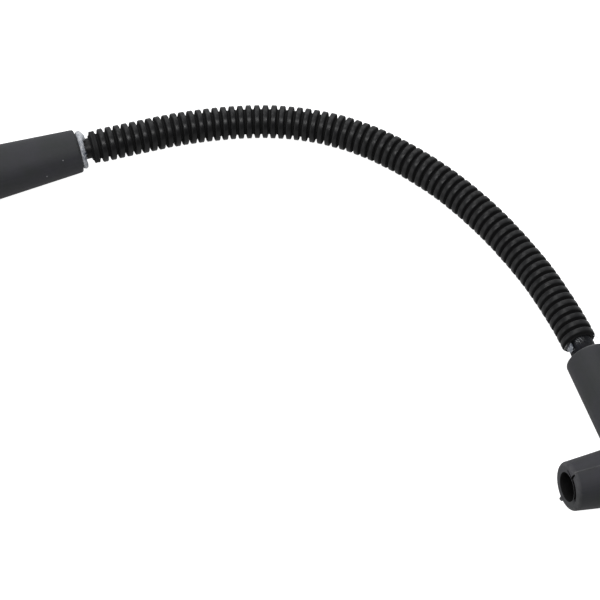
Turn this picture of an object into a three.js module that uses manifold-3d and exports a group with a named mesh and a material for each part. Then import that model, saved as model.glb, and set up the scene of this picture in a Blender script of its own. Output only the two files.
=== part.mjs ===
// A spark plug wire: an ignition cable in a corrugated loom, with a straight rubber boot on its
// coil end and a right-angle rubber boot on its plug end. Millimetres, +Z up. The wire lies on
// the plane z = 0. The coil boot's axis runs along X, and both boots open towards -X.

import * as THREE from 'three';
import { mergeVertices } from 'three/addons/utils/BufferGeometryUtils.js';
import Module from 'manifold-3d';

const wasm = await Module();
wasm.setup();

// Clearances
const seatGap = 0.3; // between pieces that touch on the real wire
const cableSlack = 0.5; // between the cable and the loom's bore
const layingGap = 0.02; // between the loom and the surface it lies on

// Cable, from the middle out
const conductorRadius = 1.2;
const insulationWall = 1.4;
const jacketWall = 0.8;
const strippedLength = 3; // conductor that stands out of the jacket at each end

// Corrugated loom
const loomWall = 0.4; // between the bore and the foot of a valley
const corrugationDepth = 1.65;
const corrugationPitch = 3.249;
const crestFlat = 1.5;
const valleyFlat = 0.7;
const loomFromCoilBoot = 4.8;
const loomFromPlugBoot = 5.6;

// Rubber boots
const edgeRound = 0.8;
const mouthRound = 1.6;
const boreChamfer = 0.5;

// Straight boot for the coil's tower
const coilBootLength = 75.5;
const coilBootRadius = 10.5;
const coilNeckRadius = 8.45;
const coilTaperLength = 36;
const towerSocketRadius = 7.8;
const towerSocketDepth = 31;

// Right-angle boot for the spark plug. Each leg is measured to the corner where the axes meet.
const cableLegLength = 50.05;
const plugNeckHeight = 9.2; // of the cable's axis where it enters, a little lower than the elbow
const plugLegLength = 32.3;
const legTurn = 93.5; // degrees in plan, a right angle eased by the soft rubber
const plugLegLift = 10; // degrees, the plug leg's mouth stands off the surface
const elbowBend = 12.7; // centreline radius of the elbow
const elbowRadius = 10.4;
const plugNeckRadius = 8.4;
const plugMouthRadius = 8.75;
const insulatorSocketRadius = 5.1;
const insulatorSocketDepth = 18.5;

// Sheet-metal terminals
const sheet = 0.5;
const crimpLength = 12;
const crimpGrip = 11; // length of jacket inside a crimp
const shoulderLength = 3;
const slotWidth = 0.8;
const seamWidth = 0.7;
const coilPinRadius = 2.8; // the coil tower's contact pin
const coilNoseLength = 16;
const plugNeckBore = 2.1; // rolled neck of the plug terminal
const plugNutRadius = 3.25; // the spark plug's terminal nut
const plugCupLength = 7;
const plugCupRecess = 9.5; // from the mouth of the boot to the cup
const clipWire = 0.9;
const clipOpening = 2.5; // width of the gap in a spring clip

// Sealant
const coilSealantThickness = 3;
const coilSealantWidth = 2;
const plugSealantThickness = 0.5;
const sealantWaviness = 0.2; // share of the thickness

// Where the cable enters each boot, and how far it goes in
const coilExit = [-44.7, 97.8];
const plugExit = [107.6, -47.9];
const plugHeading = -86.5; // degrees, the way the cable runs into the plug boot
const coilInsertion = 38;
const plugInsertion = 26;

// Facets
const bootSides = 24;
const loomSides = 12;
const cableSides = 8;
const coreSides = 8;
const terminalSides = 16;
const cableSteps = 32;
const elbowStep = 2.4;

// Sizes that follow
const insulationBore = conductorRadius + seatGap;
const insulationRadius = insulationBore + insulationWall;
const jacketBore = insulationRadius + seatGap;
const jacketRadius = jacketBore + jacketWall;
const loomBore = jacketRadius + cableSlack;
const loomRoot = loomBore + loomWall;
const loomCrest = loomRoot + corrugationDepth;
const cableBore = jacketRadius + seatGap;
const crimpRadius = cableBore + sheet;
const crimpCavity = crimpRadius + seatGap;

const paints = {
  rubber: paint(0x2b2b2e, 0.62, 0),
  loom: paint(0x161617, 0.42, 0),
  jacket: paint(0x1c1c1d, 0.5, 0),
  insulation: paint(0x8a8780, 0.6, 0),
  conductor: paint(0x3a3835, 0.45, 0.4),
  steel: paint(0x9a9a98, 0.32, 1),
  brass: paint(0xb08d4f, 0.35, 1),
  sealant: paint(0xb9c2cc, 0.35, 0),
  smear: paint(0x202122, 0.4, 0),
};

function paint(color, roughness, metalness) {
  return new THREE.MeshStandardMaterial({ color, roughness, metalness, flatShading: true });
}

function piece(name, geometry, material) {
  const mesh = new THREE.Mesh(geometry, material);
  mesh.name = name;
  return mesh;
}

// Geometry helpers. A turned piece has its axis along Y, so y is the distance along the piece.

function welded(geometry) {
  geometry.deleteAttribute('normal');
  geometry.deleteAttribute('uv');
  return mergeVertices(geometry);
}

// A ring-shaped solid from a closed outline of [radius, distance along the axis], listed up the
// outside and back down the bore.
function turned(outline, sides) {
  const points = outline.map(([radius, along]) => new THREE.Vector2(radius, along));
  points.push(points[0].clone());
  return welded(new THREE.LatheGeometry(points, sides));
}

// The outline with its long edges split between two distances, so that the piece can bend there.
function stepped(outline, from, to, step) {
  const result = [];
  outline.forEach(([radius, along], i) => {
    result.push([radius, along]);
    const [nextRadius, nextAlong] = outline[(i + 1) % outline.length];
    const low = Math.max(Math.min(along, nextAlong), from);
    const high = Math.min(Math.max(along, nextAlong), to);
    const count = Math.ceil((high - low) / step);
    const cuts = [];
    for (let k = 0; k <= count && high > low; k++) cuts.push(low + ((high - low) * k) / count);
    if (nextAlong < along) cuts.reverse();
    for (const cut of cuts) {
      if (Math.min(Math.abs(cut - along), Math.abs(cut - nextAlong)) < 0.1) continue;
      const share = (cut - along) / (nextAlong - along);
      result.push([radius + (nextRadius - radius) * share, cut]);
    }
  });
  return result;
}

// Lays a straight piece along a path. The piece's own z stays as near to upright as it can.
function bent(geometry, path) {
  const length = path.getLength();
  const skyward = new THREE.Vector3(0, 0, 1);
  const vertices = geometry.getAttribute('position');
  for (let i = 0; i < vertices.count; i++) {
    const share = THREE.MathUtils.clamp(vertices.getY(i) / length, 0, 1);
    const ahead = path.getTangentAt(share);
    const right = new THREE.Vector3().crossVectors(ahead, skyward).normalize();
    const up = new THREE.Vector3().crossVectors(right, ahead);
    const spot = path.getPointAt(share);
    spot.addScaledVector(right, vertices.getX(i)).addScaledVector(up, vertices.getZ(i));
    vertices.setXYZ(i, spot.x, spot.y, spot.z);
  }
  return geometry;
}

function toSolid(geometry) {
  const vertProperties = new Float32Array(geometry.getAttribute('position').array);
  const triVerts = new Uint32Array(geometry.getIndex().array);
  return new wasm.Manifold(new wasm.Mesh({ numProp: 3, vertProperties, triVerts }));
}

function withCuts(geometry, cutters) {
  let body = toSolid(geometry);
  for (const cutter of cutters) body = body.subtract(toSolid(cutter));
  const { vertProperties, triVerts } = body.getMesh();
  const result = new THREE.BufferGeometry();
  result.setAttribute('position', new THREE.BufferAttribute(vertProperties, 3));
  result.setIndex(new THREE.BufferAttribute(triVerts, 1));
  return result;
}

// A cutter for a lengthwise slot: a bar between two heights above the axis, at an angle round it.
function slotBar({ width, from, to, low, high, angle }) {
  const bar = new THREE.BoxGeometry(width, to - from, high - low);
  bar.translate(0, (from + to) / 2, (low + high) / 2);
  bar.rotateY(THREE.MathUtils.degToRad(angle));
  return welded(bar);
}

// Part of a path between two distances along it.
class Stretch extends THREE.Curve {
  constructor(path, from, to) {
    super();
    Object.assign(this, { path, from, to });
  }

  getPoint(share, target = new THREE.Vector3()) {
    const along = this.from + (this.to - this.from) * share;
    return target.copy(this.path.getPointAt(along / this.path.getLength()));
  }
}

// An arc that starts with the direction `ahead` and turns into the direction `onward`.
class Bend extends THREE.Curve {
  constructor(start, ahead, onward, radius) {
    super();
    this.angle = ahead.angleTo(onward);
    this.side = ahead.clone().multiplyScalar(radius);
    const inward = onward.clone().addScaledVector(ahead, -onward.dot(ahead)).setLength(radius);
    this.centre = start.clone().add(inward);
    this.arm = inward.negate();
  }

  getPoint(share, target = new THREE.Vector3()) {
    const turn = this.angle * share;
    return target.copy(this.centre)
      .addScaledVector(this.arm, Math.cos(turn))
      .addScaledVector(this.side, Math.sin(turn));
  }
}

// Cable

// The centreline of the cable and its conductor, from end to end.
function cableRoute(plugStand) {
  const lying = loomCrest + layingGap;
  const onCoilAxis = (along) => [coilExit[0] + along, coilExit[1], coilBootRadius];
  const onPlugAxis = (along) =>
    new THREE.Vector3(0, along, 0).applyMatrix4(plugStand.matrix).toArray();
  const coilEnd = coilInsertion + strippedLength;
  const plugEnd = plugInsertion + strippedLength;
  const points = [
    onCoilAxis(-coilEnd),
    onCoilAxis(-coilEnd / 2),
    onCoilAxis(0),
    [-32.3, 97.5, lying + 3.7],
    [-19.4, 97.4, lying + 2.9],
    [-6.5, 97.3, lying + 1.9],
    [6.4, 96.3, lying + 0.9],
    [19.1, 94.2, lying + 0.2],
    [31.5, 90.6, lying],
    [43.2, 85.3, lying],
    [54.2, 78.5, lying],
    [64.0, 70.2, lying],
    [72.5, 60.8, lying],
    [80.2, 50.3, lying],
    [86.8, 39.5, lying],
    [92.5, 27.9, lying],
    [97.3, 15.9, lying],
    [101.2, 3.4, lying + 0.1],
    [104.2, -9.2, lying + 0.6],
    [106.0, -22.0, lying + 1.4],
    [107.2, -34.8, lying + 2.1],
    onPlugAxis(0),
    onPlugAxis(plugEnd / 2),
    onPlugAxis(plugEnd),
  ];
  const route = new THREE.CatmullRomCurve3(points.map((point) => new THREE.Vector3(...point)));
  route.arcLengthDivisions = 2000;
  return route;
}

// One layer of the cable: a tube, or a rod where the bore is 0.
function cableLayer(path, radius, bore, sides) {
  const section = new THREE.Shape().absarc(0, 0, radius, 0, 2 * Math.PI, false);
  if (bore > 0) section.holes.push(new THREE.Path().absarc(0, 0, bore, 0, 2 * Math.PI, true));
  const options = { steps: cableSteps, curveSegments: sides, bevelEnabled: false };
  return welded(new THREE.ExtrudeGeometry(section, { ...options, extrudePath: path }));
}

function cable(route) {
  const inside = new Stretch(route, strippedLength, route.getLength() - strippedLength);
  const jacket = cableLayer(inside, jacketRadius, jacketBore, cableSides);
  const insulation = cableLayer(inside, insulationRadius, insulationBore, coreSides);
  const conductor = cableLayer(route, conductorRadius, 0, coreSides);
  return [
    piece('cable_jacket', jacket, paints.jacket),
    piece('cable_insulation', insulation, paints.insulation),
    piece('cable_conductor', conductor, paints.conductor),
  ];
}

// Loom

// Crests and valleys up the outside between two distances, and a plain bore back down. The loom
// was cut to length, so its ends fall wherever the knife met the corrugation.
function loomOutline(from, to) {
  const slope = (corrugationPitch - crestFlat - valleyFlat) / 2;
  const corrugated = [];
  for (let valley = from - valleyFlat / 2; valley < to; valley += corrugationPitch) {
    const crest = valley + valleyFlat + slope;
    corrugated.push([loomRoot, valley], [loomRoot, valley + valleyFlat]);
    corrugated.push([loomCrest, crest], [loomCrest, crest + crestFlat]);
  }
  const next = corrugated.findIndex(([, along]) => along >= to);
  const end = next < 0 ? corrugated.length : next;
  const outside = corrugated.slice(1, end);
  const [lastRadius, lastAlong] = corrugated[end - 1];
  const [nextRadius, nextAlong] = corrugated[end] ?? [loomRoot, lastAlong + slope];
  const share = (to - lastAlong) / (nextAlong - lastAlong);
  const cutRadius = lastRadius + (nextRadius - lastRadius) * share;
  return [[loomRoot, from], ...outside, [cutRadius, to], [loomBore, to], [loomBore, from]];
}

function loom(route) {
  const coilBootFace = strippedLength + coilInsertion;
  const plugBootFace = route.getLength() - strippedLength - plugInsertion;
  const from = coilBootFace + loomFromCoilBoot;
  const to = plugBootFace - loomFromPlugBoot;
  const outline = stepped(loomOutline(from, to), from, to, 2 * corrugationPitch);
  return piece('loom', bent(turned(outline, loomSides), route), paints.loom);
}

// Sealant

// A bead round the cable, thickest at its middle, with an uneven outer edge.
function sealantBead(route, from, to, thickness) {
  const outline = [
    [cableBore, from], [cableBore + 0.85 * thickness, from],
    [cableBore + thickness, (from + to) / 2],
    [cableBore + 0.75 * thickness, to], [cableBore, to],
  ];
  const bead = turned(outline, bootSides);
  const vertices = bead.getAttribute('position');
  for (let i = 0; i < vertices.count; i++) {
    const x = vertices.getX(i);
    const z = vertices.getZ(i);
    const radius = Math.hypot(x, z);
    const angle = Math.atan2(z, x);
    const wave = (Math.sin(3 * angle) + Math.sin(7 * angle + 1)) / 2;
    const swell = 1 + sealantWaviness * (wave - 1) / 2;
    const share = (cableBore + (radius - cableBore) * swell) / radius;
    vertices.setX(i, x * share);
    vertices.setZ(i, z * share);
  }
  return bent(bead, route);
}

function sealant(route) {
  const coilBootFace = strippedLength + coilInsertion;
  const plugBootFace = route.getLength() - strippedLength - plugInsertion;
  const coilBead = sealantBead(route, coilBootFace + seatGap,
    coilBootFace + seatGap + coilSealantWidth, coilSealantThickness);
  const plugBead = sealantBead(route, plugBootFace - loomFromPlugBoot + seatGap,
    plugBootFace - seatGap, plugSealantThickness);
  return [
    piece('coil_end_sealant', coilBead, paints.sealant),
    piece('plug_end_sealant', plugBead, paints.smear),
  ];
}

// Terminals

// The slots that let a rolled socket spring open: two bars right across it.
function fingerSlots(radius, from, to) {
  const reach = radius + 1;
  return [0, 90].map((angle) =>
    slotBar({ width: slotWidth, from, to, low: -reach, high: reach, angle }));
}

// The open seam along a crimp, on its lower side.
function crimpSeam(from) {
  const [start, end] = [from - 1, from + crimpLength];
  return slotBar({
    width: seamWidth, from: start, to: end, low: 0, high: crimpRadius + 1, angle: 180,
  });
}

// A spring clip: a wire ring with a gap, round a socket.
function springClip(socketRadius, along) {
  const middle = socketRadius + seatGap + clipWire / 2;
  const outline = [];
  for (let corner = 0; corner < coreSides; corner++) {
    const angle = ((corner + 0.5) / coreSides) * 2 * Math.PI;
    outline.push([
      middle + (clipWire / 2) * Math.cos(angle),
      along + (clipWire / 2) * Math.sin(angle),
    ]);
  }
  const gap = slotBar({
    width: clipOpening, from: along - clipWire, to: along + clipWire,
    low: 0, high: middle + clipWire, angle: 45,
  });
  return { ring: turned(outline, bootSides), gap };
}

// Coil end. Distances run from the boot's cable end into the boot.

function coilTerminal() {
  const crimpStart = coilInsertion - crimpGrip;
  const crimpEnd = crimpStart + crimpLength;
  const noseStart = crimpEnd + shoulderLength;
  const noseEnd = noseStart + coilNoseLength;
  const noseRadius = coilPinRadius + sheet;
  const outline = [
    [crimpRadius, crimpStart], [crimpRadius, crimpEnd],
    [noseRadius, noseStart], [noseRadius, noseEnd],
    [coilPinRadius, noseEnd], [coilPinRadius, noseStart],
    [cableBore, crimpEnd], [cableBore, crimpStart],
  ];
  const slots = fingerSlots(noseRadius, noseStart + 2, noseEnd + 1);
  const body = withCuts(turned(outline, terminalSides), [...slots, crimpSeam(crimpStart)]);
  const { ring, gap } = springClip(noseRadius, noseEnd - 4);
  return [
    piece('coil_terminal', body, paints.brass),
    piece('coil_spring_clip', withCuts(ring, [gap]), paints.steel),
  ];
}

function coilBoot() {
  const crimpStart = coilInsertion - crimpGrip;
  const socketStart = coilBootLength - towerSocketDepth;
  const outline = [
    [coilNeckRadius - edgeRound, 0],
    [coilNeckRadius - 0.3 * edgeRound, 0.3 * edgeRound],
    [coilNeckRadius, edgeRound],
    [coilBootRadius, coilTaperLength],
    [coilBootRadius, coilBootLength - edgeRound],
    [coilBootRadius - 0.3 * edgeRound, coilBootLength - 0.3 * edgeRound],
    [coilBootRadius - edgeRound, coilBootLength],
    [towerSocketRadius + boreChamfer, coilBootLength],
    [towerSocketRadius, coilBootLength - boreChamfer],
    [towerSocketRadius, socketStart],
    [crimpCavity, socketStart],
    [crimpCavity, crimpStart - seatGap],
    [cableBore, crimpStart - seatGap],
    [cableBore, 0],
  ];
  return piece('coil_boot', turned(outline, bootSides), paints.rubber);
}

function coilEnd() {
  const group = new THREE.Group();
  group.add(coilBoot(), ...coilTerminal());
  group.position.set(coilExit[0], coilExit[1], coilBootRadius);
  group.rotation.z = Math.PI / 2;
  return group;
}

// Plug end. Its path starts at the boot's cable end, runs along Y and turns towards X.

function plugPath() {
  const lift = THREE.MathUtils.degToRad(plugLegLift);
  const turned = THREE.MathUtils.degToRad(90 - legTurn);
  const cableLeg = new THREE.Vector3(0, 1, 0);
  const plugLeg = new THREE.Vector3(
    Math.cos(turned) * Math.cos(lift), Math.sin(turned) * Math.cos(lift), Math.sin(lift));
  const corner = cableLeg.clone().multiplyScalar(cableLegLength);
  const cornerToBend = elbowBend * Math.tan(cableLeg.angleTo(plugLeg) / 2);
  const bendStart = corner.clone().addScaledVector(cableLeg, -cornerToBend);
  const bendEnd = corner.clone().addScaledVector(plugLeg, cornerToBend);
  const mouth = corner.clone().addScaledVector(plugLeg, plugLegLength);
  const path = new THREE.CurvePath();
  path.add(new THREE.LineCurve3(new THREE.Vector3(), bendStart));
  path.add(new Bend(bendStart, cableLeg, plugLeg, elbowBend));
  path.add(new THREE.LineCurve3(bendEnd, mouth));
  path.arcLengthDivisions = 2000;
  const bendLength = path.curves[1].getLength();
  const bendFrom = cableLegLength - cornerToBend;
  return { path, bendFrom, bendTo: bendFrom + bendLength, length: path.getLength() };
}

function plugTerminal({ path, bendFrom, bendTo, length }) {
  const crimpStart = plugInsertion - crimpGrip;
  const crimpEnd = crimpStart + crimpLength;
  const neckStart = crimpEnd + shoulderLength;
  const cupEnd = length - plugCupRecess;
  const cupStart = cupEnd - plugCupLength;
  const cupRadius = plugNutRadius + sheet;
  const outline = [
    [crimpRadius, crimpStart], [crimpRadius, crimpEnd],
    [plugNeckBore + sheet, neckStart], [plugNeckBore + sheet, cupStart - sheet],
    [cupRadius, cupStart - sheet], [cupRadius, cupEnd],
    [plugNutRadius, cupEnd], [plugNutRadius, cupStart],
    [plugNeckBore, cupStart], [plugNeckBore, neckStart],
    [cableBore, crimpEnd], [cableBore, crimpStart],
  ];
  const straight = turned(stepped(outline, bendFrom, bendTo, elbowStep), terminalSides);
  const slots = fingerSlots(cupRadius, cupStart + 1, cupEnd + 1);
  const cutters = [...slots, crimpSeam(crimpStart)].map((cutter) => bent(cutter, path));
  const { ring, gap } = springClip(cupRadius, cupEnd - 2.5);
  return [
    piece('plug_terminal', withCuts(bent(straight, path), cutters), paints.steel),
    piece('plug_spring_clip', withCuts(bent(ring, path), [bent(gap, path)]), paints.steel),
  ];
}

function plugBoot({ path, bendFrom, bendTo, length }) {
  const crimpStart = plugInsertion - crimpGrip;
  const cavityEnd = crimpStart + crimpLength + shoulderLength;
  const socketStart = length - insulatorSocketDepth;
  const outline = [
    [plugNeckRadius - edgeRound, 0],
    [plugNeckRadius - 0.3 * edgeRound, 0.3 * edgeRound],
    [plugNeckRadius, edgeRound],
    [elbowRadius, bendFrom],
    [elbowRadius, bendTo],
    [plugMouthRadius, length - mouthRound],
    [plugMouthRadius - 0.3 * mouthRound, length - 0.3 * mouthRound],
    [plugMouthRadius - mouthRound, length],
    [insulatorSocketRadius + boreChamfer, length],
    [insulatorSocketRadius, length - boreChamfer],
    [insulatorSocketRadius, socketStart],
    [cableBore, socketStart],
    [cableBore, cavityEnd],
    [crimpCavity, cavityEnd],
    [crimpCavity, crimpStart - seatGap],
    [cableBore, crimpStart - seatGap],
    [cableBore, 0],
  ];
  const straight = turned(stepped(outline, bendFrom, bendTo, elbowStep), bootSides);
  return piece('plug_boot', bent(straight, path), paints.rubber);
}

// Where the plug end stands. The boot rests on its elbow and its cable leg slopes down from there.
function plugPlace({ bendFrom }) {
  const rise = Math.asin((elbowRadius - plugNeckHeight) / bendFrom);
  const stand = new THREE.Group();
  stand.position.set(plugExit[0], plugExit[1], plugNeckHeight);
  stand.rotation.set(rise, 0, THREE.MathUtils.degToRad(plugHeading - 90), 'ZYX');
  stand.updateMatrix();
  return stand;
}

const plugLayout = plugPath();
const plugEnd = plugPlace(plugLayout);
plugEnd.add(plugBoot(plugLayout), ...plugTerminal(plugLayout));

const route = cableRoute(plugEnd);
const wire = new THREE.Group();
wire.add(coilEnd(), plugEnd, ...cable(route), loom(route), ...sealant(route));

export default wire;
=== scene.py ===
# %% [markdown]
# # A spark plug wire
# An ignition lead is a rubber-jacketed cable with a terminal crimped on each end, a rubber boot
# over each terminal and a corrugated loom that keeps heat and rubbing off the cable. This lesson
# dresses the plain solids of such a lead: it builds smooth boots, a thin-walled loom and ragged
# beads of sealant round the same centrelines, and gives every surface a finish made from nodes.

# %% Load the solids
import math

import bmesh
import bpy
import numpy as np
from mathutils import Euler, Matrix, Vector, noise


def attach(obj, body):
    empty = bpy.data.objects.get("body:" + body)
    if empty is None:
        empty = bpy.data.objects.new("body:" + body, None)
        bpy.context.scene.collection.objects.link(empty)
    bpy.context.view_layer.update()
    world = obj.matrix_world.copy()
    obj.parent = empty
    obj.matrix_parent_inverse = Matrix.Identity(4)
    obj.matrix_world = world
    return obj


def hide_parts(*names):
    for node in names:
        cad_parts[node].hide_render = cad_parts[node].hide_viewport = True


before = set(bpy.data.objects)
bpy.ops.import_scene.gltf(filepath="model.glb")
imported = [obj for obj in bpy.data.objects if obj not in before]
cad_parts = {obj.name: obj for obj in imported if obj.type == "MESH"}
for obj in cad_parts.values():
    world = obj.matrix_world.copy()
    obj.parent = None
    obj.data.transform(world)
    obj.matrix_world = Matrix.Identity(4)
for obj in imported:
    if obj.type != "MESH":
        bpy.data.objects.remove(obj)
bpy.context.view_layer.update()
print("nodes:", ", ".join(sorted(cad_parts)))

# %% [markdown]
# ## Camera
# The lead lies flat and is seen from well above, from in front and a little to the left. A long
# lens keeps the loom nearly as wide far off as it is close by, so the camera stands about 0.75 m
# away with a 120 mm lens on a 36 mm sensor.

# %% Camera
camera_data = bpy.data.cameras.new("lead_camera")
camera_data.lens = 120
camera_data.sensor_width = 36
camera_data.clip_start = 0.01
camera = bpy.data.objects.new("lead_camera", camera_data)
camera.location = (-0.1044, -0.3602, 0.6405)
camera.rotation_euler = Euler((math.radians(31.5), 0, math.radians(-18.1386)))
bpy.context.scene.collection.objects.link(camera)
bpy.context.scene.camera = camera
looking = camera.rotation_euler.to_matrix() @ Vector((0, 0, -1))
print("camera looks along", tuple(round(x, 3) for x in looking))

# %% [markdown]
# ## Sizes
# Everything is written in millimetres, as on a drawing, and turned into metres in one place,
# where a mesh is made.

# %% Sizes
MM = 0.001

jacket_radius = 4.0
cable_bore = 4.3
crimp_cavity = 5.1

loom_bore = 4.5
loom_root = 4.9
loom_crest = 6.55
corrugation_pitch = 3.249
loom_from_coil_boot = 4.8
loom_from_plug_boot = 5.6
laying_gap = 0.02
seat_gap = 0.3

coil_boot_length = 75.5
coil_boot_radius = 10.5
coil_neck_radius = 8.45
coil_taper_length = 36
tower_socket_radius = 7.8
tower_socket_depth = 31
coil_exit = (-44.7, 97.8)
coil_insertion = 38

cable_leg_length = 50.05
plug_neck_height = 9.2
plug_leg_length = 32.3
plug_leg_heading = -180
plug_leg_lift = 10
elbow_bend = 12.7
elbow_radius = 10.4
plug_neck_radius = 8.4
plug_mouth_radius = 8.75
insulator_socket_radius = 5.1
insulator_socket_depth = 18.5
plug_exit = (107.6, -47.9)
plug_heading = -86.5
plug_insertion = 26

edge_round = 0.8
plug_neck_round = 1.3
mouth_round = 1.6
bore_chamfer = 0.5
stripped_length = 3
crimp_length = 12
crimp_grip = 11
shoulder_length = 3
print(f"coil boot {coil_boot_length} mm, plug boot's legs {cable_leg_length} and {plug_leg_length} mm")

# %% [markdown]
# ## Centrelines
# A lead is easiest to build straight and then bend, as the real boot is a turned shape with an
# elbow. A centreline is kept as a fine row of points, and at any distance along it gives the
# place there and two directions across it: right, which stays level, and up.

# %% Centreline helper
SKY = np.array([0.0, 0.0, 1.0])


class Centreline:
    """A fine row of points that knows its place and its cross directions at any distance."""

    def __init__(self, points):
        self.points = np.array(points, float)
        steps = np.linalg.norm(np.diff(self.points, axis=0), axis=1)
        self.along = np.concatenate([[0.0], np.cumsum(steps)])
        self.length = float(self.along[-1])
        self.ahead = np.gradient(self.points, self.along, axis=0)

    def at(self, along):
        along = np.asarray(along, float)
        inside = np.clip(along, 0, self.length)
        place, ahead = (
            np.stack([np.interp(inside, self.along, rows[:, k]) for k in range(3)], axis=-1)
            for rows in (self.points, self.ahead)
        )
        ahead /= np.linalg.norm(ahead, axis=-1, keepdims=True)
        place = place + ahead * (along - inside)[..., None]
        right = np.cross(ahead, SKY)
        right /= np.linalg.norm(right, axis=-1, keepdims=True)
        return place, right, np.cross(right, ahead), ahead


def direction(heading, lift=0.0):
    """A unit vector from a compass heading in degrees, counted from X towards Y, and a lift."""
    turn, rise = math.radians(heading), math.radians(lift)
    return np.array([math.cos(turn) * math.cos(rise), math.sin(turn) * math.cos(rise), math.sin(rise)])


# %% [markdown]
# ## The cable's route
# The cable leaves the coil boot level, sinks to the surface within a hand's breadth because its
# loom is thinner than the boot, swings round in one easy arc and rises again into the plug boot.
# The points below are listed along that arc. A centripetal spline joins them, since it
# doesn't bulge between uneven points.

# %% Cable route
lying = loom_crest + laying_gap


def on_coil_axis(along):
    return (coil_exit[0] + along, coil_exit[1], coil_boot_radius)


leg_turn = math.radians(plug_leg_heading - plug_heading)
flat_leg_angle = math.acos(math.cos(leg_turn) * math.cos(math.radians(plug_leg_lift)))
bend_from = cable_leg_length - elbow_bend * math.tan(flat_leg_angle / 2)
plug_rise = math.degrees(math.asin((elbow_radius - plug_neck_height) / bend_from))


def on_plug_axis(along):
    return tuple(np.array([*plug_exit, plug_neck_height]) + along * direction(plug_heading, plug_rise))


coil_end = coil_insertion + stripped_length
plug_end = plug_insertion + stripped_length
route_points = [
    on_coil_axis(-coil_end), on_coil_axis(-coil_end / 2), on_coil_axis(0),
    (-32.3, 97.5, lying + 3.7), (-19.4, 97.4, lying + 2.9), (-6.5, 97.3, lying + 1.9),
    (6.4, 96.3, lying + 0.9), (19.1, 94.2, lying + 0.2), (31.5, 90.6, lying),
    (43.2, 85.3, lying), (54.2, 78.5, lying), (64.0, 70.2, lying), (72.5, 60.8, lying),
    (80.2, 50.3, lying), (86.8, 39.5, lying), (92.5, 27.9, lying), (97.3, 15.9, lying),
    (101.2, 3.4, lying + 0.1), (104.2, -9.2, lying + 0.6), (106.0, -22.0, lying + 1.4),
    (107.2, -34.8, lying + 2.1),
    on_plug_axis(0), on_plug_axis(plug_end / 2), on_plug_axis(plug_end),
]


def centripetal_spline(points, samples=120):
    """Points along a centripetal spline through the given ones."""
    points = np.array(points, float)
    points = np.vstack([2 * points[0] - points[1], points, 2 * points[-1] - points[-2]])
    share = np.linspace(0, 1, samples, endpoint=False)[:, None]
    spans = []
    for before, start, end, after in zip(points, points[1:], points[2:], points[3:]):
        gaps = [math.sqrt(np.linalg.norm(b - a)) for a, b in ((before, start), (start, end), (end, after))]
        leave = (start - before) / gaps[0] - (end - before) / (gaps[0] + gaps[1]) + (end - start) / gaps[1]
        arrive = (end - start) / gaps[1] - (after - start) / (gaps[1] + gaps[2]) + (after - end) / gaps[2]
        leave, arrive = leave * gaps[1], arrive * gaps[1]
        bend = -3 * start + 3 * end - 2 * leave - arrive
        twist = 2 * start - 2 * end + leave + arrive
        spans.append(start + leave * share + bend * share**2 + twist * share**3)
    return np.vstack([*spans, points[-2:-1]])


route = Centreline(centripetal_spline(route_points))
coil_boot_face = stripped_length + coil_insertion
plug_boot_face = route.length - stripped_length - plug_insertion
print(f"cable {route.length:.1f} mm, {plug_boot_face - coil_boot_face:.1f} mm of it between the boots")

# %% [markdown]
# ## Turned meshes
# Boots, loom, sealant and terminals are all turned shapes: an outline of radius and distance,
# carried round the centreline. One helper makes them all as a grid of quads, so the faces follow
# the form. It can also change the grid before it is laid along the line, which gives notches and
# ragged ends, and it keeps three values on each point for the finishes: how far along and round
# the piece it is, and how far out from the line.

# %% Turned mesh helper
def off_by(turn, middle):
    """The angle between two turns, from -180 to 180 degrees."""
    return (turn - middle + 180) % 360 - 180


def full_turn(sides, extra=(), apart=1.2):
    """Angles in degrees for a whole turn, with some extra ones where detail needs them."""
    even = [360 * k / sides for k in range(sides)]
    kept = [a for a in even if all(abs(off_by(a, e)) > apart for e in extra)]
    return sorted([*kept, *(e % 360 for e in extra)])


def new_piece(name, points, faces, smooth_below=40):
    """A named mesh piece in metres that rides with the lead, with its edges kept crisp."""
    mesh = bpy.data.meshes.new(name)
    mesh.from_pydata((np.asarray(points) * MM).tolist(), [], faces)
    mesh.polygons.foreach_set("use_smooth", [True] * len(mesh.polygons))
    mesh.set_sharp_from_angle(angle=math.radians(smooth_below))
    mesh.update()
    piece = bpy.data.objects.new(name, mesh)
    bpy.context.scene.collection.objects.link(piece)
    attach(piece, "root")
    return piece


def keep_value(piece, name, values):
    attribute = piece.data.attributes.new(name, "FLOAT", "POINT")
    attribute.data.foreach_set("value", np.asarray(values, np.float32).ravel())


def values_of(piece, name):
    values = np.zeros(len(piece.data.vertices), np.float32)
    piece.data.attributes[name].data.foreach_get("value", values)
    return values


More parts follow.
